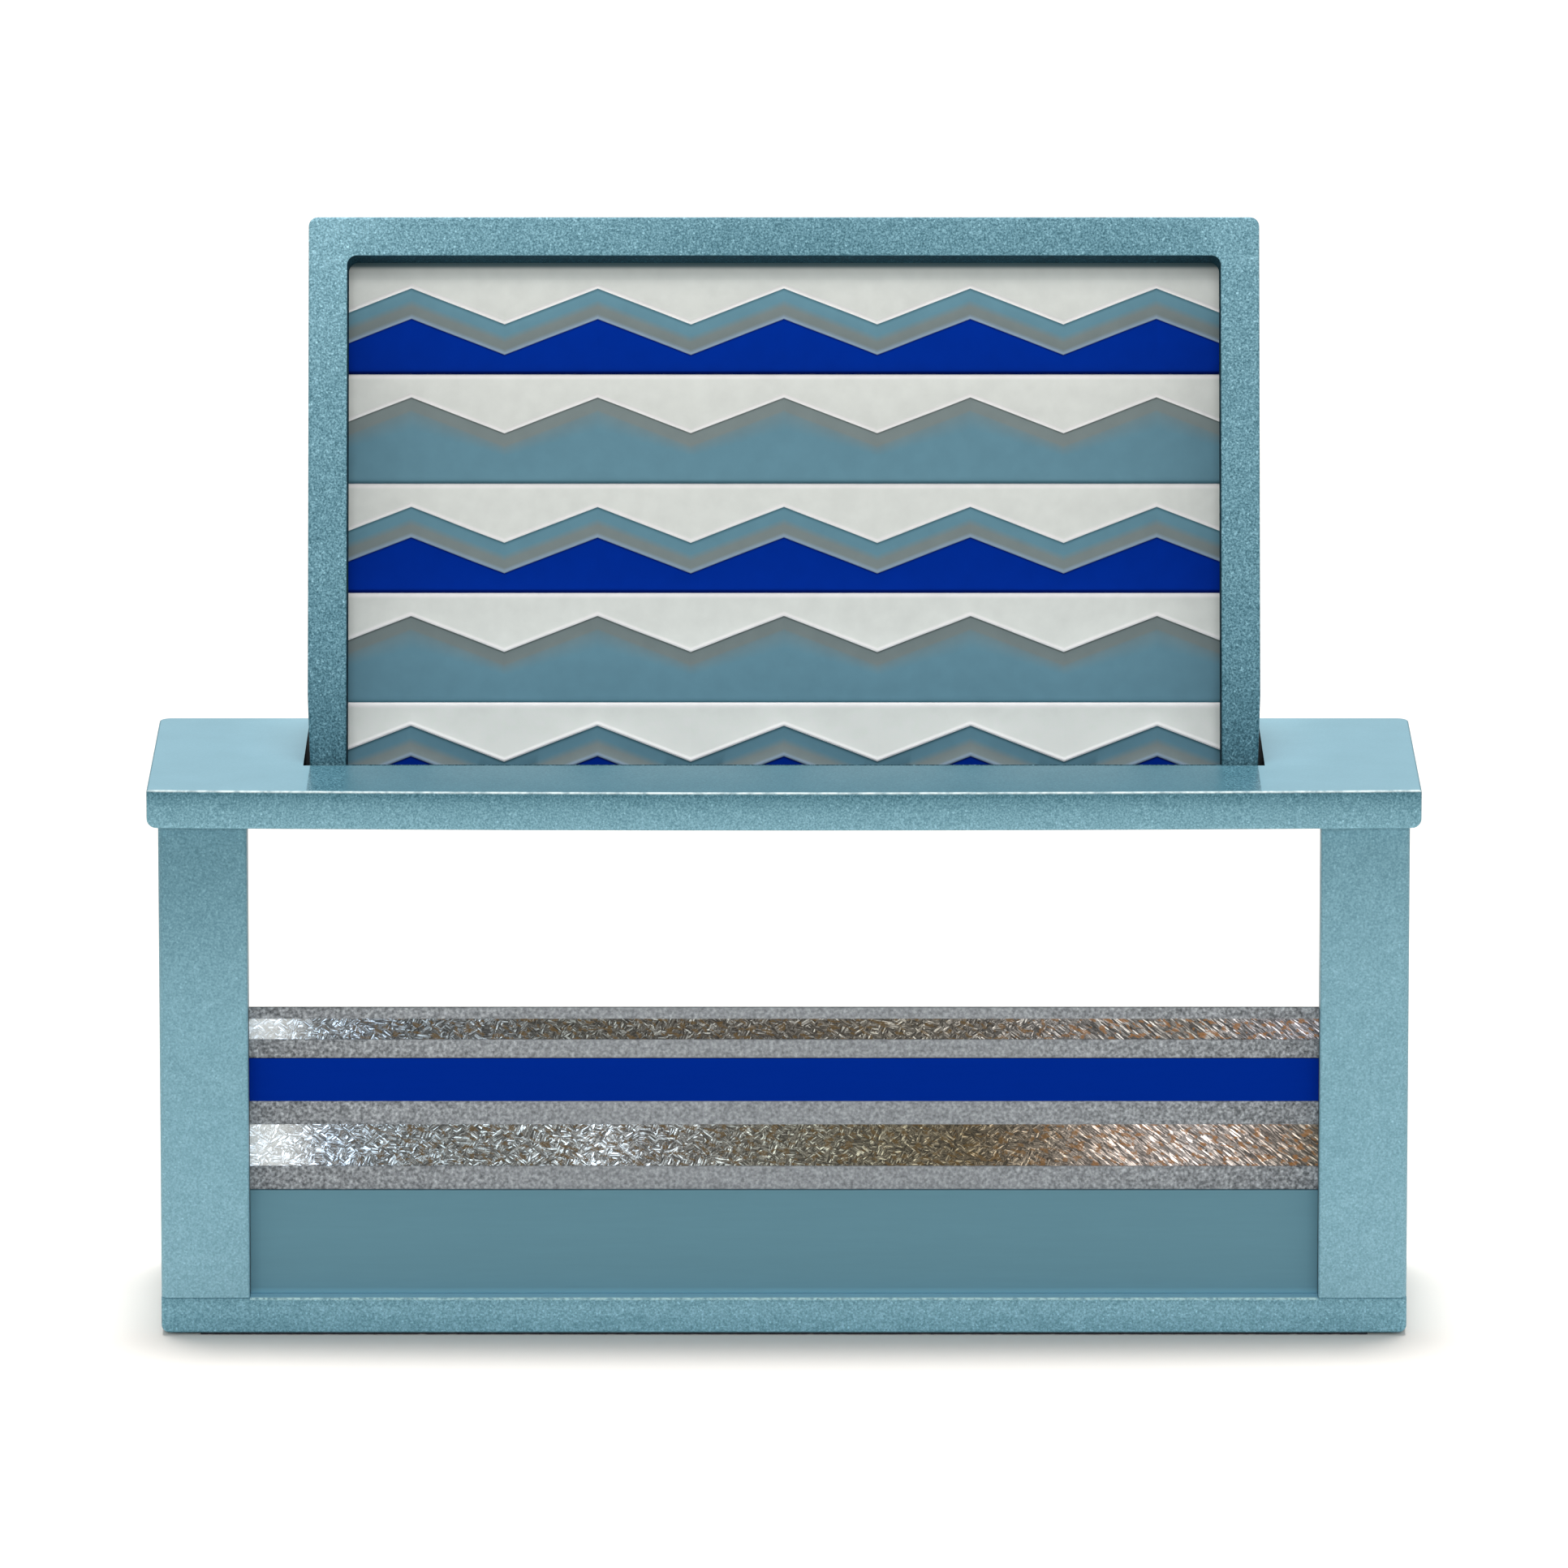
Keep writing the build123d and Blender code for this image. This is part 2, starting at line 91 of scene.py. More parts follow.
# ---------------------------------------------------------------- node graphs
class Graph:
    """A node tree. The methods below feed add nodes to it and return the last one's output socket."""

    def __init__(self, tree, place):
        self.tree = tree
        self.place = self.add("ShaderNodeTexCoord").outputs[place]

    def add(self, kind, values=None, **settings):
        """A new node, with values or sockets for its inputs, and its other settings."""
        node = self.tree.nodes.new(kind)
        for key, value in settings.items():
            setattr(node, key, value)
        for key, value in (values or {}).items():
            self.feed(node.inputs[key], value)
        return node

    def feed(self, socket, value):
        if isinstance(value, bpy.types.NodeSocket):
            self.tree.links.new(value, socket)
        else:
            socket.default_value = value

    def math(self, operation, a, b=0.0):
        return self.add("ShaderNodeMath", {0: a, 1: b}, operation=operation).outputs[0]

    def plus(self, *terms):
        total = terms[0]
        for term in terms[1:]:
            total = self.math("ADD", total, term)
        return total

    def times(self, *factors):
        product = factors[0]
        for factor in factors[1:]:
            product = self.math("MULTIPLY", product, factor)
        return product

    def axis(self, name):
        """One coordinate of the place on the object."""
        return self.add("ShaderNodeSeparateXYZ", {0: self.place}).outputs[name]

    def across(self):
        """The distance from the middle plane."""
        return self.math("ABSOLUTE", self.axis("X"))

    def grid(self, size, turn=0.0):
        """The place turned about Y by an angle, then measured in steps of that size along each axis."""
        values = {"Vector": self.place, "Scale": size, "Rotation": (0.0, turn, 0.0)}
        return self.add("ShaderNodeMapping", values, vector_type="TEXTURE").outputs[0]

    def noise(self, size, detail=2.0, rough=0.5, place=None, warp=0.0):
        """Soft noise whose features are about that size."""
        values = {"Vector": self.place if place is None else place, "Scale": 1 / size,
                  "Detail": detail, "Roughness": rough, "Distortion": warp}
        return self.add("ShaderNodeTexNoise", values).outputs["Fac"]

    def cells(self, size, out="Color", place=None, feature="F1"):
        """Cells of about that size: each one's own random colour, or the distance to its edge."""
        values = {"Vector": self.place if place is None else place, "Scale": 1 / size}
        return self.add("ShaderNodeTexVoronoi", values, feature=feature).outputs[out]

    def span(self, value, low, high, to_low=0.0, to_high=1.0, smooth=False):
        """value from low..high moved to to_low..to_high, and held at the ends."""
        kind = "SMOOTHSTEP" if smooth else "LINEAR"
        node = self.add("ShaderNodeMapRange", {0: value, 1: low, 2: high, 3: to_low, 4: to_high},
                        interpolation_type=kind)
        return node.outputs[0]

    def mix(self, amount, a, b, blend="MIX"):
        """The colour a where amount is 0, and b where it is 1."""
        node = self.add("ShaderNodeMix", data_type="RGBA", blend_type=blend)
        self.feed(node.inputs[0], amount)
        self.feed(node.inputs[6], a)
        self.feed(node.inputs[7], b)
        return node.outputs[2]

    def between(self, amount, a, b):
        """The number a where amount is 0, and b where it is 1."""
        return self.plus(self.times(a, self.math("SUBTRACT", 1.0, amount)), self.times(b, amount))

    def shade(self, colour, factor):
        """colour times a grey factor."""
        grey = self.add("ShaderNodeCombineColor", {0: factor, 1: factor, 2: factor}).outputs[0]
        return self.mix(1.0, colour, grey, "MULTIPLY")

    def ramp(self, value, stops):
        """The colour that follows (value, colour) stops, with values in 0 to 1."""
        node = self.add("ShaderNodeValToRGB", {0: value})
        elements = node.color_ramp.elements
        while len(elements) < len(stops):
            elements.new(0.5)
        for element, (position, colour) in zip(elements, stops):
            element.position = position
            element.color = colour
        return node.outputs[0]

    def bump(self, height, depth, strength=1.0, under=None):
        """A normal that follows a height of 0 to 1, over a depth in metres, on top of another normal."""
        values = {"Height": height, "Distance": depth, "Strength": strength}
        if under is not None:
            values["Normal"] = under
        return self.add("ShaderNodeBump", values).outputs[0]

    def curve(self, value, points):
        """A number in 0 to 1 that follows (value, tone) points, with tones in 0 to 255 steps."""
        low, high = points[0][0], points[-1][0]
        stops = [((v - low) / (high - low), (t / 255, t / 255, t / 255, 1.0)) for v, t in points]
        return self.ramp(self.span(value, low, high), stops)

    def near(self, coordinate, place, reach):
        """1 at that place along a coordinate, falling to 0 at reach from it."""
        away = self.math("ABSOLUTE", self.math("SUBTRACT", coordinate, place))
        return self.span(away, 0.0, reach, 1.0, 0.0, smooth=True)


class Paint(Graph):
    """A material, with one shader that its sockets feed."""

    def __init__(self, name, **shader):
        self.material = bpy.data.materials.new(name)
        self.material.use_nodes = True
        self.material.node_tree.nodes.clear()
        super().__init__(self.material.node_tree, "Object")
        output = self.add("ShaderNodeOutputMaterial")
        self.shader = self.add("ShaderNodeBsdfPrincipled")
        self.tree.links.new(self.shader.outputs[0], output.inputs[0])
        for socket, value in shader.items():
            self.to(socket.replace("_", " "), value)

    def to(self, socket, value):
        self.feed(self.shader.inputs[socket], value)


# ---------------------------------------------------------------- enamel
# The enamel's colours lie on one line, from deep to pale teal. A tone is a place on that line: the colour's
# red, with green 42 and blue 54 steps above it.
GRAIN = 0.6 * MM


def teal(paint, tone):
    """The enamel's colour at a tone of 0 to 1."""
    return paint.ramp(tone, [(t / 255, seen(t, t + 42, t + 54)) for t in range(0, 201, 25)])


def grainy(paint, tone, amount):
    """Metal flakes in the lacquer. amount is how far the grains stray from the tone."""
    grain = paint.noise(GRAIN, detail=2.0, rough=0.6)
    clouds = paint.noise(9 * MM, detail=2.0)
    flake = paint.add("ShaderNodeSeparateColor", {0: paint.cells(0.55 * MM)}).outputs[0]
    stray = paint.times(paint.span(grain, 0.2, 0.8, -1.0, 1.0), amount)
    # The brightest flakes are painted paler, as glints.
    glint = paint.times(paint.span(flake, 0.9, 1.0, 0.0, 0.6), amount)
    patches = paint.span(clouds, 0.3, 0.7, -2.5 / 255, 2.5 / 255)
    return paint.plus(tone, stray, glint, patches), grain


def inside(paint, value, limit):
    """1 where a value is below a limit, 0 above it."""
    soft = 0.1 * MM
    return paint.span(value, limit - soft, limit + soft, 1.0, 0.0)


def arris(paint, depth, top, reach, bead, faint):
    """How much painted highlight lies on an edge between a front and a top: a thin, uneven line along it."""
    setback = 0.25 * MM
    line = paint.times(paint.near(depth, setback, reach), paint.near(paint.axis("Z"), top - setback, reach))
    return paint.times(line, paint.span(paint.noise(bead, detail=2.0), 0.35, 0.6, faint, 1.0))


def enamel(name, tone, amount, specular=0.2):
    """Metallic enamel. tone(paint) gives the tone over the surface."""
    paint = Paint(name, Metallic=0.05, Specular_IOR_Level=specular)
    grained, grain = grainy(paint, tone(paint), amount)
    paint.to("Base Color", teal(paint, grained))
    paint.to("Roughness", paint.span(grain, 0.3, 0.7, 0.38, 0.52))
    peel = paint.noise(1.6 * MM, detail=2.0)
    paint.to("Normal", paint.bump(peel, 0.08 * MM, under=paint.bump(grain, 0.05 * MM)))
    return paint


# Tones up the rub frame's stiles, in mm above the shelf, and along its top rail, in mm from the middle. They
# are painted light and shade: the stiles deepen towards the shelf and the rail is paler towards its ends.
STILE_TONES = [(0, 62), (4, 70), (12.6, 77), (32, 91), (57, 97), (82, 100), (102, 103), (117, 105),
               (132, 111), (149, 114), (156, 125), (166, 132)]
RAIL_TONES = [(0, 100), (20, 100), (40, 105), (63, 107), (90, 106), (105, 106), (125, 111), (140, 122)]
# The frame's reveals are painted near-black as shade.
REVEAL_SHADE_TONE = 6 / 255


def above_shelf(height_mm):
    return SHELF_TOP + height_mm * MM


def frame_tone(paint):
    """Painted light and shade on the rub frame: palest at its top corners, deepening towards the shelf, and
    paler on the left near its head; its reveals are painted dark as shade.
    """
    z = paint.axis("Z")
    height = paint.curve(z, [(above_shelf(h), t) for h, t in STILE_TONES])
    fade = paint.span(z, above_shelf(95), above_shelf(150), -0.02, -0.2)
    leftwards = paint.times(paint.axis("X"), fade)
    rail = paint.curve(paint.across(), [(x * MM, t) for x, t in RAIL_TONES])
    rail_extra = paint.math("SUBTRACT", rail, STILE_TONES[-1][1] / 255)
    rail_edge = SHELF_TOP + SIGHT_H * math.cos(LEAN)
    in_rail = paint.span(z, rail_edge - 0.2 * MM, rail_edge + 0.2 * MM)
    tone = paint.plus(height, leftwards, paint.times(in_rail, rail_extra))
    return paint.between(frame_reveal(paint), tone, REVEAL_SHADE_TONE)


def frame_reveal(paint):
    """1 on the faces that look into the frame's opening."""
    sine, cosine = math.sin(LEAN), math.cos(LEAN)
    foot = SHELF_FRONT + FOOT_SETBACK
    y, z = paint.axis("Y"), paint.axis("Z")
    up = paint.plus(paint.times(z, cosine), paint.times(y, sine))
    opening_top = SHELF_TOP * cosine + foot * sine + SIGHT_H
    back = paint.plus(paint.times(y, cosine), paint.times(z, -sine))
    front_face = foot * cosine - SHELF_TOP * sine
    slack = 0.25 * MM
    return paint.times(inside(paint, paint.across(), SIGHT_HALF_W + slack),
                       inside(paint, up, opening_top + slack),
                       paint.span(back, front_face + 0.2 * MM, front_face + 0.4 * MM))


def frame_enamel():
    """The rub frame's enamel, which is dull inside its opening and painted dark there as shade."""
    paint = enamel("frame_enamel", frame_tone, 0.25, specular=0.1)
    gloss = paint.shader.inputs["Roughness"].links[0].from_socket
    paint.to("Roughness", paint.plus(gloss, paint.times(frame_reveal(paint), 0.5)))
    return paint


# Tones at heights in mm above the floor, for the posts and sides, and for the bottom board. They are painted
# light and shade: the posts darken under the shelf, and the bottom board's face is darker towards its top
# and bottom edges.
POST_TONES = [(12, 135), (18, 134), (28, 133), (43, 131), (64, 128), (85, 126), (103, 125), (121, 121),
              (137, 112), (148, 106), (155, 103), (160, 102), (165, 104)]
BASE_TONES = [(1, 106), (1.6, 113), (2.6, 113), (4.7, 114), (6.8, 120), (8.9, 122), (11, 116), (12.2, 107)]


def carcass_tone(paint):
    """Painted light and shade: the posts and side boards are paler low down, darker under the shelf, and
    paler on the right near their heads.
    """
    height = paint.curve(paint.axis("Z"), [(z * MM, t) for z, t in POST_TONES])
    rightwards = paint.times(paint.axis("X"), paint.span(paint.axis("Z"), 0.10, 0.14, 0.02, 0.14))
    return paint.plus(height, rightwards)


def base_tone(paint):
    """Painted shade: the bottom board is darker at its ends, and most so at the left one."""
    height = paint.curve(paint.axis("Z"), [(z * MM, t) for z, t in BASE_TONES])
    ends = paint.span(paint.across(), 0.12, 0.19, 0.0, -0.03)
    return paint.plus(height, ends, paint.times(paint.axis("X"), 0.06))


def base_enamel():
    """The bottom board: painted light makes its face paler, most towards its foot; inside the window its top
    is painted pale as light, and a painted highlight runs along its arris.
    """
    paint = enamel("base_enamel", base_tone, 0.15)
    colour = paint.shader.inputs["Base Color"].links[0].from_socket
    # Painted light on the board's face, most towards its foot.
    painted_lift = paint.span(paint.axis("Z"), 2 * MM, 11 * MM, 1.35, 1.15)
    colour = paint.shade(colour, painted_lift)
    depth = paint.math("SUBTRACT", paint.axis("Y"), BASE_LOW[1])
    in_window = paint.times(inside(paint, paint.across(), WINDOW_HALF_W), inside(paint, depth, 8 * MM))
    on_top = paint.span(paint.axis("Z"), BASE_HIGH[2] - 0.15 * MM, BASE_HIGH[2] - 0.05 * MM)
    # A painted highlight along the arris inside the window.
    glint = arris(paint, depth, BASE_HIGH[2], 0.75 * MM, 1.1 * MM, 0.1)
    # The top inside the window is painted pale, as painted light.
    colour = paint.mix(paint.times(on_top, in_window), colour, seen(166, 216, 232))
    paint.to("Base Color", paint.mix(paint.times(glint, in_window), colour, seen(215, 252, 255)))
    return paint


# Tones down the shelf's edges, in mm from its top, with a band of painted shade under the arris; of its open
# top; and of the strip before the rub frame, a darker painted reflection of the frame.
SHELF_EDGE_TONES = [(-12.4, 126), (-11, 124), (-9.1, 121), (-7, 117), (-5.5, 112), (-4.4, 106), (-3.4, 101),
                    (-2.3, 93), (-1.3, 82), (-0.8, 80), (0, 96)]
TOP_TONE = 123 / 255
REFLECTION_TONE = 79 / 255
NOTCH_FRONT = SHELF_FRONT + 37 * MM
NOTCH_REACH = FRAME_HALF_W + 2.5 * MM       # a little past the notch's side walls


def shelf_enamel():
    """The shelf: painted shade on its edge under a painted highlight on the arris, and a calm top with a
    darker painted reflection in front of the rub frame.

    The walls of its notch are painted nearly black, as shade.
    """
    paint = Paint("shelf_enamel", Specular_IOR_Level=0.08)
    facing = paint.add("ShaderNodeSeparateXYZ", {0: paint.add("ShaderNodeTexCoord").outputs["Normal"]})
    top = paint.span(facing.outputs["Z"], 0.9, 0.98)
    down = paint.curve(paint.axis("Z"), [(above_shelf(h), t) for h, t in SHELF_EDGE_TONES])
    edge, grain = grainy(paint, down, 0.15)
    # The strip before the rub frame is a painted reflection of it, grainier where the stiles would show.
    before = paint.times(inside(paint, paint.across(), FRAME_HALF_W),
                         inside(paint, paint.axis("Y"), SHELF_FRONT + FOOT_SETBACK))
    stiles = paint.times(before, paint.span(paint.across(), SIGHT_HALF_W, SIGHT_HALF_W + 0.2 * MM))
    rough = paint.times(paint.span(grain, 0.2, 0.8, -1.0, 1.0),
                        paint.plus(0.02, paint.times(before, 0.06), paint.times(stiles, 0.2)))
    wash = paint.span(paint.noise(14 * MM, detail=2.0), 0.3, 0.7, -2 / 255, 2 / 255)
    # Painted light beside the rub frame, where its shade on the top would fall.
    backwards = paint.span(paint.axis("Y"), SHELF_FRONT + 30 * MM, SHELF_FRONT + 60 * MM, 0.0, 18 / 255)
    beside = paint.times(paint.near(paint.across(), FRAME_HALF_W, 30 * MM), backwards)
    calm = paint.plus(paint.between(before, TOP_TONE, REFLECTION_TONE), rough, wash, beside)
    tone = paint.between(top, edge, calm)
    bow = paint.times(BOW / SHELF_HIGH[0] ** 2, paint.axis("X"), paint.axis("X"))
    depth = paint.math("SUBTRACT", paint.math("SUBTRACT", paint.axis("Y"), bow), SHELF_LOW[1])
    # A painted highlight along the bowed arris.
    glint = arris(paint, depth, SHELF_TOP, 0.65 * MM, 3.0 * MM, 0.4)
    colour = paint.mix(glint, teal(paint, tone), seen(240, 252, 255))
    # Painted shade: the notch's walls are near-black and rough.
    notch = paint.times(inside(paint, top, 0.5), inside(paint, paint.across(), NOTCH_REACH),
                        paint.span(paint.axis("Y"), NOTCH_FRONT - 0.1 * MM, NOTCH_FRONT))
    paint.to("Base Color", paint.mix(notch, colour, seen(0, 26, 36)))
    paint.to("Roughness", paint.plus(paint.between(top, 0.42, 0.3), paint.times(notch, 0.55)))
    paint.to("Normal", paint.bump(grain, 0.12 * MM, strength=paint.between(top, 1.0, 0.08)))
    return paint


# ---------------------------------------------------------------- rub sheet
SHEET_DEPTH = 22.4 * MM         # from the frame's front face to the white fields
ROWS_TOP = 161.83 * MM
SHEET_FOOT = -2.6 * MM
GROOVE = 3.6 * MM
ROW_PITCH = 35.02 * MM
ZIGZAG_PERIOD = 59.45 * MM
ZIGZAG_RISE = 11.5 * MM
WHITE_AT_PEAK = 7.6 * MM
BAND_H = 9.65 * MM

# Each station is (which line it is measured from, millimetres below that line, height in mm, tone). The
# tone counts the painted fields: 0 to 1 white, 1 to 2 band, 2 to 3 blue, then 4 to 6 in plain rows.
TONES = 7.0
LIP = [("top", 0.00, -1.6, 0.0), ("top", 0.06, -0.7, 0.03), ("top", 0.18, -0.12, 0.06),
       ("top", 0.45, 0.10, 0.10), ("top", 1.15, 0.12, 0.13), ("top", 1.9, 0.0, 0.2)]
BEAD = [("edge", -1.7, 0.0, 0.8), ("edge", -1.2, 0.10, 0.86), ("edge", -0.75, 0.28, 0.91),
        ("edge", -0.4, 0.27, 0.95), ("edge", -0.12, 0.08, 0.98), ("edge", 0.0, -0.15, 1.0),
        ("edge", 0.16, -0.6, 1.04), ("edge", 0.5, -0.8, 1.1)]
LOWER_BEAD = [("second", -1.5, -0.8, 1.85), ("second", -0.9, -0.65, 1.91), ("second", -0.45, -0.58, 1.95),
              ("second", -0.12, -0.72, 1.98), ("second", 0.0, -0.9, 2.0), ("second", 0.16, -1.4, 2.04),
              ("second", 0.5, -1.6, 2.1)]
BLUE_FOOT = [("foot", -1.1, -1.6, 2.9), ("foot", 0.0, -1.6, 3.0)]
PLAIN_FOOT = [("edge", 4.6, -1.0, 5.5), ("foot", -1.1, -1.1, 5.9), ("foot", 0.0, -1.6, 6.0)]


def plain(stations):
    """The same stations in a plain row, which has its own tones and a shallower second field."""
    return [(line, drop, max(height, -1.0) if line == "edge" else height, tone + 4.0)
            for line, drop, height, tone in stations]


# The top row reaches up behind the top rail, with no lip.
UNDER_RAIL = [("top", -4.1, 0.0, 0.2), ("top", 1.5, 0.0, 0.2)]
# The painted shadow of the top rail on the sheet's head: how dark it is, 0 to 255, at heights in mm above
# the shelf.
RAIL_SHADOW_TONES = [(139.5, 0), (141.5, 10), (143.3, 24), (144.3, 46), (145.3, 82), (146.3, 93), (146.8, 97),
                    (147.3, 95), (147.8, 102), (148.3, 150), (148.8, 225), (149.3, 255)]


def row_stations(row):
    """The stations of a row: every other row is a plain one."""
    if row == 0:
        return UNDER_RAIL + BEAD + LOWER_BEAD + BLUE_FOOT
    if row % 2 == 0:
        return LIP + BEAD + LOWER_BEAD + BLUE_FOOT
    return plain(LIP + BEAD) + PLAIN_FOOT


def on_sheet(across, up, depth):
    """A place in the rub frame's own axes, in the row frame."""
    y = SHELF_FRONT + FOOT_SETBACK + depth * math.cos(LEAN) + up * math.sin(LEAN)
    z = SHELF_TOP + up * math.cos(LEAN) - depth * math.sin(LEAN)
    return Vector((across, y, z))


def zigzag_drop(across):
    """How far a zigzag edge is below its peaks."""
    phase = abs(across) / ZIGZAG_PERIOD % 1.0
    return ZIGZAG_RISE * (2 * phase if phase < 0.5 else 2 - 2 * phase)


def columns():
    """The sheet's columns, with one at every peak and valley and one close by on each side."""
    half = SIGHT_HALF_W + GROOVE
    found = {-half, half}
    count = int(half / (ZIGZAG_PERIOD / 2))
    for turn in range(-count, count + 1):
        centre = turn * ZIGZAG_PERIOD / 2
        found.update(centre + step * MM for step in (-0.5, 0.0, 0.5))
    step = ZIGZAG_PERIOD / 16
    count = int(half / step)
    for x in [k * step for k in range(-count, count + 1)]:
        if min(abs(x - f) for f in found) > 0.8 * MM:
            found.add(x)
    return sorted(found)


def line_drop(line, x, row):
    """How far a station's line is below the top of its row."""
    if line == "top":
        return 0.0
    if line == "foot":
        return ROW_PITCH
    wobble = 0.12 * MM * noise.noise(Vector((x * 60, row * 7.3, 0.5)))
    return WHITE_AT_PEAK + zigzag_drop(x) + wobble + (BAND_H if line == "second" else 0.0)


def rub_sheet():
    """The pressed sheet: rows of stepped zigzag fields with rolled edges, cut off level at its foot."""
    xs = columns()
    mesh = bmesh.new()
    tone_layer = mesh.loops.layers.float.new("tone")
    row, top = 0, ROWS_TOP
    while top > 0:
        above, above_tone = None, 0.0
        for line, drop, height, tone in row_stations(row):
            below = [mesh.verts.new(on_sheet(x, top - line_drop(line, x, row) - drop * MM,
                                             SHEET_DEPTH - height * MM)) for x in xs]
            for i in range(len(xs) - 1 if above else 0):
                face = mesh.faces.new((above[i], below[i], below[i + 1], above[i + 1]))
                face.smooth = True
                for loop, t in zip(face.loops, (above_tone, tone, tone, above_tone)):
                    loop[tone_layer] = t
            above, above_tone = below, tone
        row, top = row + 1, top - ROW_PITCH
    bmesh.ops.remove_doubles(mesh, verts=mesh.verts, dist=0.001 * MM)
    down = on_sheet(0, -1, 0) - on_sheet(0, 0, 0)
    bmesh.ops.bisect_plane(mesh, geom=mesh.verts[:] + mesh.edges[:] + mesh.faces[:], dist=0.001 * MM,
                           plane_co=on_sheet(0, SHEET_FOOT, 0), plane_no=down, clear_outer=True)
    piece = new_piece("rub_sheet_relief", mesh)
    thick = piece.modifiers.new("thickness", "SOLIDIFY")
    thick.thickness = 0.6 * MM
    thick.offset = -1.0
    return piece


def rub_enamel():
    """The sheet's colours, by the tone that its faces carry, with painted highlights and shade along its
    edges and creases; a painted shadow lies under the top rail.
    """
    paint = Paint("rub_sheet_enamel", Roughness=0.5, Specular_IOR_Level=0.01)
    tone = paint.add("ShaderNodeAttribute", attribute_name="tone").outputs["Fac"]

    def on_it(r, g, b):
        return seen(r, g, b, SHEET_LIGHT)

    # The bright and pale stops, the navy and dark teal lines and the grey at 5.0 are painted highlights and
    # painted shade along the sheet's edges and creases; the white, teal, taupe and blue fields are its own
    # colours.
    white, bright = on_it(216, 218, 210), on_it(248, 253, 254)
    teal_field, teal_shade = on_it(98, 137, 150), on_it(76, 112, 122)
    taupe, pale = on_it(121, 132, 130), on_it(136, 155, 170)
    blue, navy_shade = on_it(0, 43, 142), on_it(0, 18, 84)
    stops = [(0.0, navy_shade), (0.06, bright), (0.13, bright), (0.2, white), (0.8, white), (0.9, bright),
             (0.985, bright), (1.0, teal_shade), (1.06, teal_shade), (1.14, teal_field), (1.4, teal_field),
             (1.62, taupe), (1.84, taupe), (1.94, pale), (1.99, pale), (2.01, navy_shade), (2.12, blue),
             (2.88, blue), (2.94, navy_shade), (3.5, navy_shade), (4.06, bright), (4.13, bright), (4.2, white),
             (4.8, white), (4.9, bright), (4.985, bright), (5.0, on_it(84, 92, 90)), (5.1, taupe),
             (5.42, taupe), (5.6, teal_field), (5.88, teal_field), (5.96, teal_shade)]
    colour = paint.ramp(paint.math("DIVIDE", tone, TONES), [(t / TONES, c) for t, c in stops])
    mottle = paint.span(paint.noise(6 * MM, detail=4.0), 0.3, 0.7, 0.96, 1.03)
    # Painted light: paler towards the sheet's foot and towards its head, where the frame keeps light off it.
    low_down = paint.span(paint.axis("Z"), above_shelf(0), above_shelf(40), 1.28, 1.0)
    high_up = paint.span(paint.axis("Z"), above_shelf(122), above_shelf(142), 1.0, 1.12)
    # The top rail's painted shadow, mixed over the sheet's head.
    rail_shadow = paint.curve(paint.axis("Z"), [(above_shelf(z), t) for z, t in RAIL_SHADOW_TONES])
    colour = paint.shade(colour, paint.times(mottle, low_down, high_up))
    paint.to("Base Color", paint.mix(rail_shadow, colour, on_it(82, 104, 108)))
    paint.to("Normal", paint.bump(paint.noise(2.5 * MM, detail=2.0), 0.03 * MM))
    return paint


# ---------------------------------------------------------------- mesh pieces
def new_piece(name, mesh):
    """An object of that mesh, in the scene."""
    data = bpy.data.meshes.new(name)
    mesh.to_mesh(data)
    mesh.free()
    piece = bpy.data.objects.new(name, data)
    bpy.context.scene.collection.objects.link(piece)
    return piece


def slab(name, nx, ny, *sides):
    """A closed slab between two grids of points, side(u, v) with u and v in 0 to 1."""
    mesh = bmesh.new()

    def grid_of(side):
        return [[mesh.verts.new(side(i / nx, j / ny)) for i in range(nx + 1)] for j in range(ny + 1)]

    grids = [grid_of(side) for side in sides]
    for grid in grids:
        for low, high in zip(grid, grid[1:]):
            for i in range(nx):
                mesh.faces.new((low[i], low[i + 1], high[i + 1], high[i]))
    rims = [grid[0] + [row[-1] for row in grid[1:]] + grid[-1][-2::-1] + [row[0] for row in grid[-2:0:-1]]
            for grid in grids]
    for k in range(len(rims[0])):
        mesh.faces.new((rims[0][k], rims[0][k - 1], rims[1][k - 1], rims[1][k]))
    bmesh.ops.recalc_face_normals(mesh, faces=mesh.faces)
    return new_piece(name, mesh)


# ---------------------------------------------------------------- splash panel
def ridges(x, z, turn, length, width, seed):
    """Long ridges that run at an angle across the foil, as a height from 0 to about 1."""
    along = x * math.cos(turn) + z * math.sin(turn)
    across = z * math.cos(turn) - x * math.sin(turn)
    return abs(noise.noise(Vector((along / length, across / width, seed))))


def foil_strip(node, seed):
    """A strip of crumpled foil in the place of a flat one."""
    low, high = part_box(node)
    size = high - low
    step = 0.5 * MM

    def front(u, v):
        x, z = low[0] + size[0] * u, low[2] + size[2] * v
        # The ridges cross in patches, but at the right end they all fall one way.
        fan = 0.7 if noise.noise(Vector((x * 90, z * 90, seed))) > 0 and x < 0.09 else -0.6
        crumple = (0.7 * ridges(x, z, fan, 5 * MM, 1.3 * MM, seed)
                   + 0.5 * ridges(x, z, 0.5 * fan + 0.9, 4 * MM, 1.6 * MM, seed + 9)
                   + 0.3 * abs(noise.noise(Vector((x * 900, z * 900, seed)))))
        edge = min(1.0, 5 * v, 5 * (1 - v))
        return (x, low[1] - 0.15 * MM + 0.45 * MM * crumple * (0.35 + 0.65 * edge), z)

    def back(u, v):
        return (low[0] + size[0] * u, high[1], low[2] + size[2] * v)

    return slab(node.replace("strip", "foil"), int(size[0] / step), int(size[2] / step), front, back)


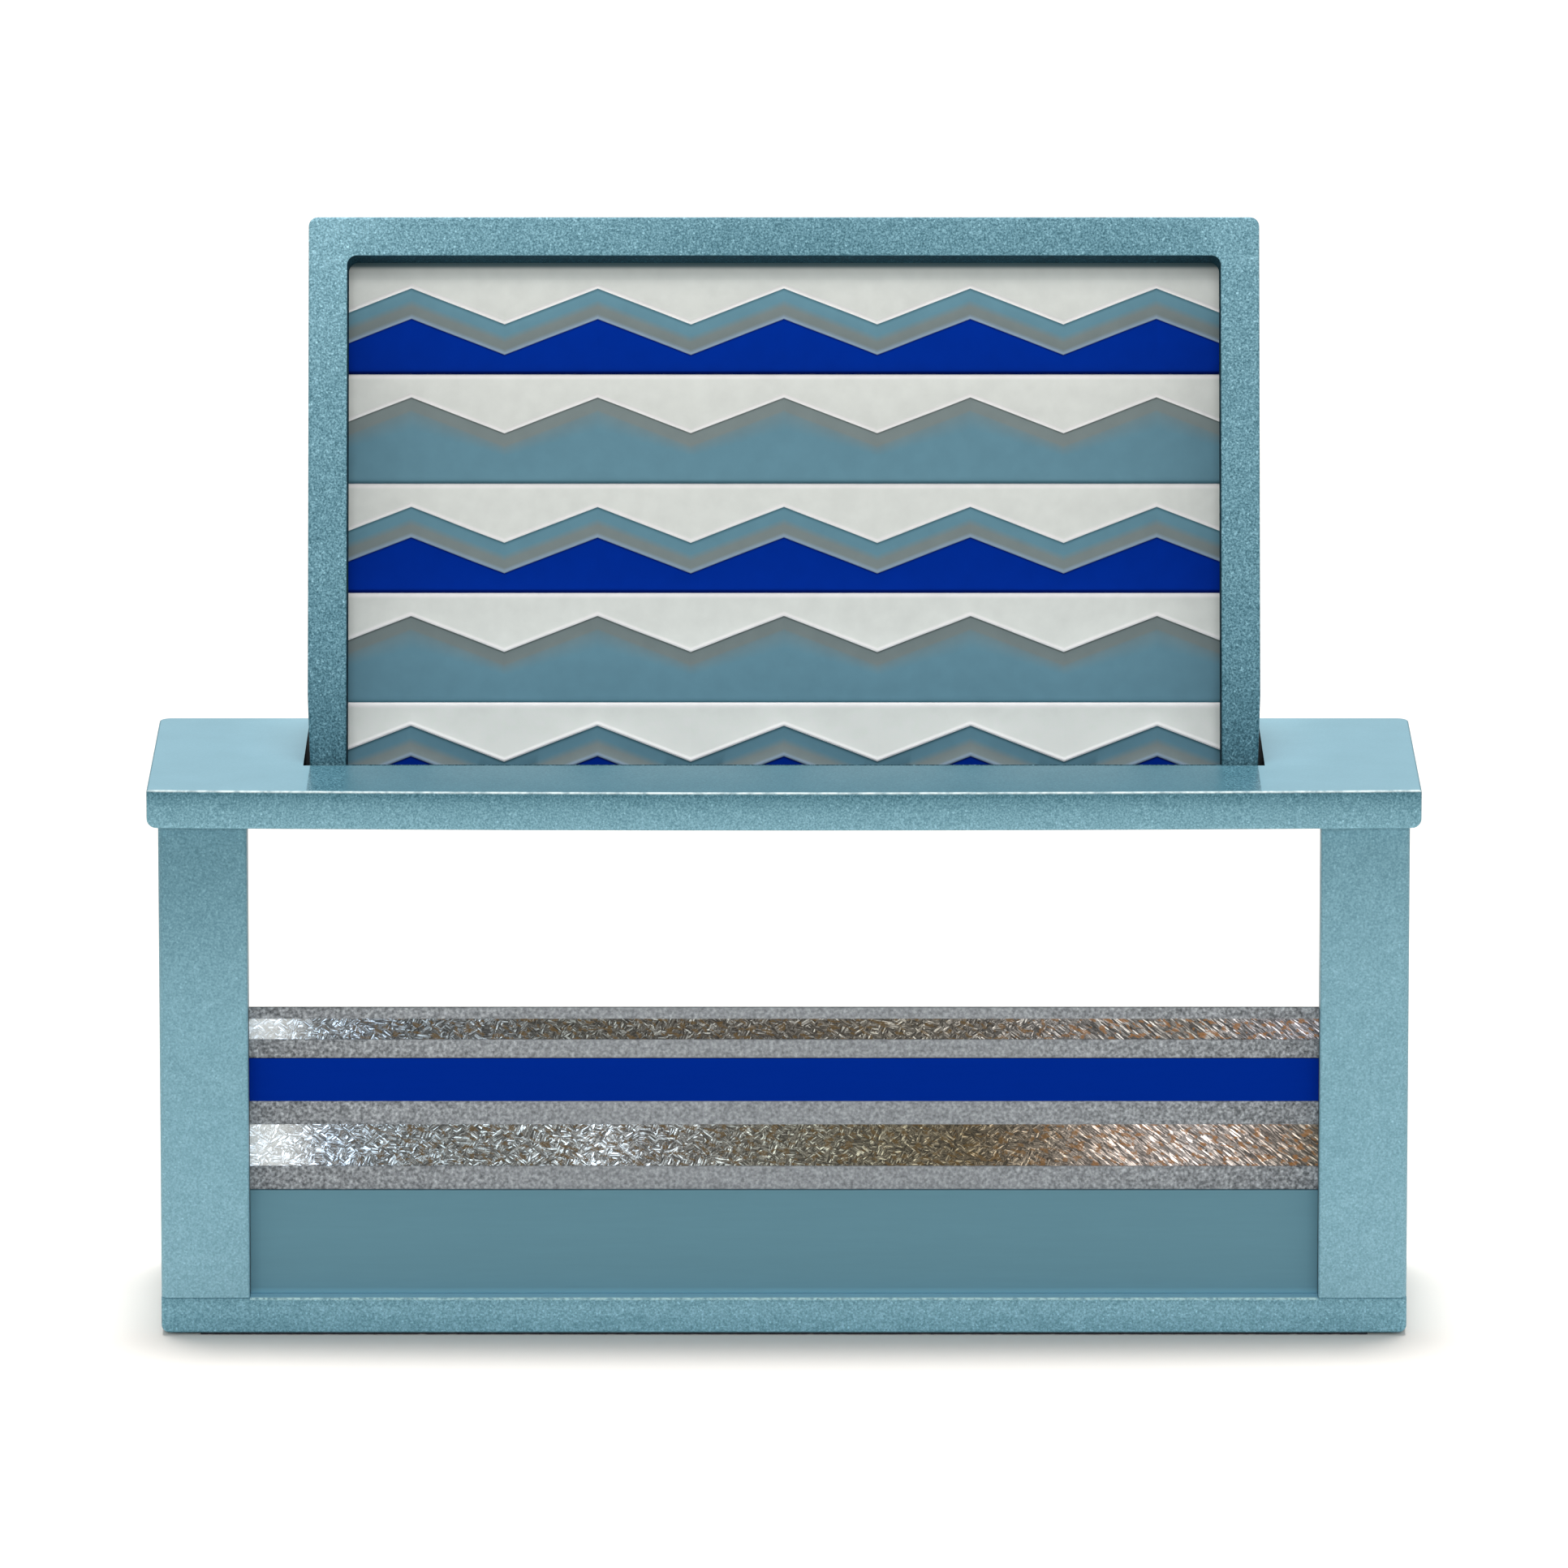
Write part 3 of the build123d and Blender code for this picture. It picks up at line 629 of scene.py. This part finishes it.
# The silver's colour along each strip, in mm from the middle: its own tarnish and rust, with painted
# reflections that make the left ends and a few patches pale.
UPPER_TINTS = [(-169, (207, 209, 213)), (-160, (194, 198, 202)), (-150, (155, 160, 163)),
               (-133, (129, 133, 137)), (-116, (103, 105, 104)), (-98, (110, 110, 108)),
               (-70, (94, 91, 83)), (-8, (96, 89, 80)), (40, (106, 99, 88)), (68, (114, 108, 101)),
               (86, (130, 125, 121)), (130, (124, 119, 113)), (148, (131, 127, 127)), (165, (150, 144, 146))]
LOWER_TINTS = [(-169, (236, 236, 236)), (-156, (222, 223, 224)), (-145, (174, 180, 186)),
               (-131, (144, 147, 147)), (-101, (133, 133, 128)), (-70, (144, 143, 138)),
               (-57, (188, 188, 186)), (-42, (142, 140, 136)), (-8, (121, 116, 103)), (30, (106, 98, 80)),
               (60, (99, 87, 67)), (84, (123, 111, 97)), (113, (180, 166, 157)), (130, (180, 169, 163)),
               (148, (163, 150, 141)), (168, (122, 111, 98))]
# How bright a flake is for its random level, as a share of STRAND_PEAK times the strip's colour there.
STRAND_LEVELS = [(0.0, 0.044), (0.3, 0.11), (0.55, 0.18), (0.75, 0.29), (0.88, 0.52), (1.0, 0.9)]
STRAND_PEAK = 7.3


def crackled_silver(name, tints):
    """Silver leaf in small crossing flakes: rusty right of the middle, and painted bright at the left end as
    a reflection.
    """
    paint = Paint(name, Metallic=0.1, Specular_IOR_Level=0.3)

    def flakes(turn, length, width):
        """Long cells at an angle: each one's own level, and how far it is from its edge."""
        place = paint.grid((length, 1.0, width), turn)
        level = paint.add("ShaderNodeSeparateColor", {0: paint.cells(1.0, place=place)}).outputs[0]
        return level, paint.cells(1.0, out="Distance", place=place, feature="DISTANCE_TO_EDGE")

    def layered(under, over, where):
        """One set of flakes with another over it in places."""
        return [paint.mix(where, a, b) for a, b in zip(under, over)]

    falling, rising = flakes(0.66, 3.2 * MM, 0.42 * MM), flakes(-0.6, 2.5 * MM, 0.42 * MM)
    steep, level = flakes(-1.2, 2.1 * MM, 0.45 * MM), flakes(0.1, 2.8 * MM, 0.42 * MM)
    streak = layered(falling, rising, paint.span(paint.noise(3.4 * MM, detail=1.0), 0.48, 0.5))
    streak = layered(streak, level, paint.span(paint.noise(4.4 * MM, detail=1.0), 0.54, 0.56))
    streak = layered(streak, steep, paint.span(paint.noise(2.9 * MM, detail=1.0), 0.56, 0.58))
    streak = layered(streak, falling, paint.span(paint.axis("X"), 0.075, 0.1, 0.0, 0.95))
    fine = paint.span(paint.noise(0.45 * MM, detail=2.0), 0.25, 0.75, 0.55, 1.45)
    gap = paint.span(streak[1], 0.0, 0.16, 0.25, 1.0)
    shine = paint.ramp(streak[0], [(v, (share, share, share, 1.0)) for v, share in STRAND_LEVELS])
    tint = paint.ramp(paint.span(paint.axis("X"), tints[0][0] * MM, tints[-1][0] * MM),
                      [((x - tints[0][0]) / (tints[-1][0] - tints[0][0]), seen(*c)) for x, c in tints])
    # The brighter flakes on the left get a cool tint, as painted reflection.
    cool = paint.times(paint.span(streak[0], 0.5, 0.85), paint.span(paint.axis("X"), 0.0, 0.08, 1.0, 0.0))
    tint = paint.mix(cool, tint, (0.9, 1.0, 1.12, 1.0), "MULTIPLY")
    metal = paint.shade(tint, paint.times(shine, fine, gap, STRAND_PEAK))
    worn = paint.span(paint.axis("X"), -0.16, -0.12, 0.1, 1.0)
    # A painted glare at the far left end.
    painted_glare = paint.span(paint.axis("X"), -0.162, -0.148, 0.6, 0.0)
    metal = paint.mix(painted_glare, metal, seen(250, 250, 250))
    spots = paint.noise(1.0, detail=2.0, place=paint.grid((3.0 * MM, 1.0, 1.5 * MM), 0.35))
    rust = paint.times(worn, paint.span(spots, 0.55, 0.59), paint.span(fine, 0.6, 1.3, 1.0, 0.5))
    brown = paint.mix(paint.span(paint.axis("X"), 0.06, 0.11), seen(100, 76, 36), seen(160, 106, 50))
    metal = paint.mix(rust, metal, brown)
    pits = paint.times(worn, paint.span(paint.noise(1.2 * MM, detail=2.0), 0.68, 0.73, 0.0, 0.9))
    paint.to("Base Color", paint.mix(pits, metal, seen(40, 28, 18)))
    paint.to("Roughness", paint.span(streak[0], 0.0, 1.0, 0.6, 0.3))
    paint.to("Normal", paint.bump(paint.times(streak[0], gap), 0.12 * MM))
    return paint


# The grey strips' tones along them, in mm from the middle; their fall towards the ends is painted shade
# beside the posts.
GRIT_TONES = [(0, 147), (70, 147), (100, 145), (130, 142), (145, 138), (160, 133), (170, 132)]


def granular_grey():
    """Gritty coating: finer in the middle and coarse towards the posts, where painted shade darkens it."""
    paint = Paint("granular_grey", Roughness=0.85, Specular_IOR_Level=0.25)
    grit = paint.noise(1.1 * MM, detail=2.0, rough=0.6)
    middle = paint.curve(paint.across(), [(x * MM, t) for x, t in GRIT_TONES])
    amount = paint.span(paint.across(), 0.06, 0.16, 0.16, 0.30)
    tone = paint.plus(middle, paint.times(paint.span(grit, 0.2, 0.8, -1.0, 1.0), amount))
    paint.to("Base Color", paint.ramp(tone, [(t / 255, seen(t, t + 2, t + 4)) for t in range(0, 251, 25)]))
    paint.to("Normal", paint.bump(grit, 0.2 * MM))
    return paint


# Painted light on a flat strip at heights in mm above the bottom board, where 127.5 is its plain colour:
# paler low down, to make up for the shade of the recess.
PAINTED_LIGHT_TONES = [(0, 226), (1, 200), (2, 153), (4, 146), (5.4, 145), (9, 139), (20, 136), (34, 127.5)]


def flat_paint(name, colour, roughness, specular):
    """A smooth painted strip, with painted shade beside the posts and painted light low down."""
    paint = Paint(name, Roughness=roughness, Specular_IOR_Level=specular)
    # Painted shade beside the posts.
    ends = paint.span(paint.across(), WINDOW_HALF_W - 3.5 * MM, WINDOW_HALF_W, 1.0, 0.85)
    brushed = paint.noise(1.0, detail=3.0, place=paint.grid((16 * MM, 2.5 * MM, 1.1 * MM)))
    low_down = paint.curve(paint.axis("Z"), [(BASE_HIGH[2] + z * MM, t) for z, t in PAINTED_LIGHT_TONES])
    brush_marks = paint.span(brushed, 0.3, 0.7, 0.985, 1.015)
    paint.to("Base Color", paint.shade(colour, paint.times(ends, low_down, 2.0, brush_marks)))
    paint.to("Normal", paint.bump(brushed, 0.03 * MM))
    return paint


# ---------------------------------------------------------------- plain materials
def pine(name="bare_pine", light=(198, 160, 112), dark=(160, 116, 72)):
    """Bare wood, with rings that run lengthways and fine fibres."""
    paint = Paint(name, Roughness=0.62)
    rings = paint.noise(1.0, detail=5.0, rough=0.62, place=paint.grid((0.11, 6 * MM, 6 * MM)), warp=0.8)
    fibres = paint.noise(1.0, detail=3.0, place=paint.grid((16 * MM, 0.7 * MM, 0.7 * MM)))
    grain = paint.plus(paint.times(rings, 0.75), paint.times(fibres, 0.25))
    paint.to("Base Color", paint.ramp(paint.span(grain, 0.35, 0.65), [(0, srgb(*dark)), (1, srgb(*light))]))
    paint.to("Normal", paint.bump(grain, 0.12 * MM))
    return paint


def hardboard():
    """Brown pressed board, flecked and cloudy."""
    paint = Paint("hardboard", Roughness=0.55)
    fleck = paint.noise(1.2 * MM, detail=5.0, rough=0.7)
    cloud = paint.noise(30 * MM, detail=2.0)
    tone = paint.times(paint.span(fleck, 0.3, 0.7, 0.8, 1.2), paint.span(cloud, 0.3, 0.7, 0.92, 1.08))
    paint.to("Base Color", paint.shade(srgb(116, 80, 52), tone))
    paint.to("Normal", paint.bump(fleck, 0.06 * MM))
    return paint


def felt():
    """Dark, matted felt."""
    paint = Paint("felt", Roughness=0.95, Sheen_Weight=0.3)
    fibres = paint.noise(0.5 * MM, detail=5.0, rough=0.8)
    paint.to("Base Color", paint.shade(srgb(38, 44, 52), paint.span(fibres, 0.3, 0.7, 0.5, 1.6)))
    paint.to("Normal", paint.bump(fibres, 0.3 * MM))
    return paint


def turned_metal(name, colour, roughness):
    """The bare metal of a screw or a nail."""
    paint = Paint(name, Metallic=1.0, Roughness=roughness)
    wear = paint.noise(1.5 * MM, detail=4.0)
    paint.to("Base Color", paint.shade(colour, paint.span(wear, 0.3, 0.7, 0.75, 1.1)))
    paint.to("Normal", paint.bump(paint.noise(0.4 * MM, detail=2.0), 0.02 * MM))
    return paint


def undercoat():
    """A matt, near-black coat that the brush has left streaky; it is near-black as painted shade, so the
    gaps beside the rub frame's foot read dark.
    """
    paint = Paint("undercoat", Roughness=0.8, Specular_IOR_Level=0.2)
    brushed = paint.noise(1.0, detail=3.0, place=paint.grid((20 * MM, 1.5 * MM, 1.5 * MM)))
    paint.to("Base Color", paint.shade(srgb(8, 44, 56), paint.span(brushed, 0.3, 0.7, 0.6, 1.4)))
    paint.to("Normal", paint.bump(brushed, 0.08 * MM))
    return paint


# ---------------------------------------------------------------- felt
def felt_strip(node, seed):
    """A felt strip with a ragged outline."""
    low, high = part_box(node)
    size = high - low

    def layer(z):
        def place(u, v):
            x, y = low[0] + size[0] * u, low[1] + size[1] * v
            rag = 0.9 * MM * abs(noise.noise(Vector((x * 300, seed, z * 2000))))
            return (x, y + ((v == 0) - (v == 1)) * rag, z)
        return place

    return slab(node.replace("strip", "pad"), int(size[0] / (1.2 * MM)), 8, layer(low[2]), layer(high[2]))


# ---------------------------------------------------------------- dressing the nodes
def dress(piece, paint):
    """Gives a piece one material in place of what it has."""
    piece.data.materials.clear()
    piece.data.materials.append(paint.material)


def dress_nodes():
    """Paints every CAD node by its material slot; the bottom board has its own paint."""
    paints = {
        "frame_enamel": frame_enamel(),
        "carcass_enamel": enamel("carcass_enamel", carcass_tone, 0.1),
        "shelf_enamel": shelf_enamel(),
        "granular_grey": granular_grey(),
        "blue_enamel": flat_paint("blue_enamel", seen(0, 41, 140), 0.5, 0.005),
        "teal_lacquer": flat_paint("teal_lacquer", seen(99, 138, 150), 0.55, 0.08),
        "hardboard": hardboard(),
        "bare_pine": pine(),
        "undercoat": undercoat(),
        "beech_dowel": pine("beech_dowel", (206, 170, 128), (180, 140, 98)),
        "screw_brass": turned_metal("screw_brass", srgb(196, 164, 96), 0.35),
        "bright_steel": turned_metal("bright_steel", srgb(170, 172, 174), 0.4),
    }
    for part in frame["record"]["subparts"]:
        if part["material_slot"] in paints:
            dress(nodes[part["node"]], paints[part["material_slot"]])
    dress(nodes["bottom_board"], base_enamel())


def add_piece(piece, paint, node, body):
    """Puts a painted piece in a node's place."""
    dress(piece, paint)
    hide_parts(node)
    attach(piece, body)


dress_nodes()
add_piece(rub_sheet(), rub_enamel(), "rub_sheet", "rub_frame")
add_piece(foil_strip("crackle_strip_1", 3.7), crackled_silver("upper_silver", UPPER_TINTS),
          "crackle_strip_1", "stand")
add_piece(foil_strip("crackle_strip_2", 14.7), crackled_silver("lower_silver", LOWER_TINTS),
          "crackle_strip_2", "stand")
wool = felt()
for seed, node in ((1.9, "felt_strip_front"), (6.9, "felt_strip_rear")):
    add_piece(felt_strip(node, seed), wool, node, "stand")


# ---------------------------------------------------------------- stage, light, camera
def floor():
    """A wide, pale paper floor."""
    size = 40.0
    corners = [(-size, -size, 0), (size, -size, 0), (size, size, 0), (-size, size, 0)]
    mesh = bpy.data.meshes.new("floor")
    mesh.from_pydata(corners, [], [(0, 1, 2, 3)])
    piece = bpy.data.objects.new("floor", mesh)
    bpy.context.scene.collection.objects.link(piece)
    paint = Paint("floor_paper", Base_Color=(0.945, 0.9, 0.85, 1.0), Roughness=0.9, Specular_IOR_Level=0.1)
    mesh.materials.append(paint.material)


FRONT_SKY, BACK_SKY, TOP_SKY = 0.2, 0.9, 0.35
# Each lamp: what it gives a surface square to it, then, in degrees, how far it is brought forward from
# overhead, and its size, which softens its shadows.
LAMPS = {"overhead": (0.85, -7.5, 16), "front": (0.28, 68, 16)}


def studio():
    """Soft light from above and behind, with a dimmer room in front."""
    scene = bpy.context.scene
    scene.world = bpy.data.worlds.new("studio")
    scene.world.use_nodes = True
    sky = Graph(scene.world.node_tree, "Generated")
    horizon = sky.span(sky.axis("Y"), -0.8, 0.8, FRONT_SKY, BACK_SKY)
    upwards = sky.span(sky.axis("Z"), 0.0, 1.0)
    glow = sky.between(upwards, horizon, TOP_SKY)
    background = sky.tree.nodes["Background"]
    background.inputs["Color"].default_value = (1.0, 1.0, 1.0, 1.0)
    sky.feed(background.inputs["Strength"], glow)
    for name, (power, forward, across) in LAMPS.items():
        light = bpy.data.lights.new(name, "SUN")
        light.energy = power * math.pi
        light.angle = math.radians(across)
        lamp = bpy.data.objects.new(name, light)
        lamp.rotation_euler = (math.radians(forward), 0.0, 0.0)
        scene.collection.objects.link(lamp)
    scene.view_settings.view_transform = "Standard"


CAMERA_DISTANCE = 5.03
CAMERA_PITCH = math.radians(11.6)
CAMERA_LENS = 367.0
AIM_LIFT = 1.9 * MM


def camera():
    """The camera looks down a little on the middle of the shelf's front edge, from far off."""
    data = bpy.data.cameras.new("camera")
    data.lens = CAMERA_LENS
    data.sensor_width = 36.0
    eye = bpy.data.objects.new("camera", data)
    back = Vector((0.0, -math.cos(CAMERA_PITCH), math.sin(CAMERA_PITCH)))
    up = Vector((0.0, math.sin(CAMERA_PITCH), math.cos(CAMERA_PITCH)))
    aim = Vector((0.0, SHELF_FRONT, SHELF_TOP)) + AIM_LIFT * up
    eye.location = aim + CAMERA_DISTANCE * back
    eye.rotation_euler = (-back).to_track_quat("-Z", "Y").to_euler()
    bpy.context.scene.collection.objects.link(eye)
    bpy.context.scene.camera = eye


floor()
studio()
camera()
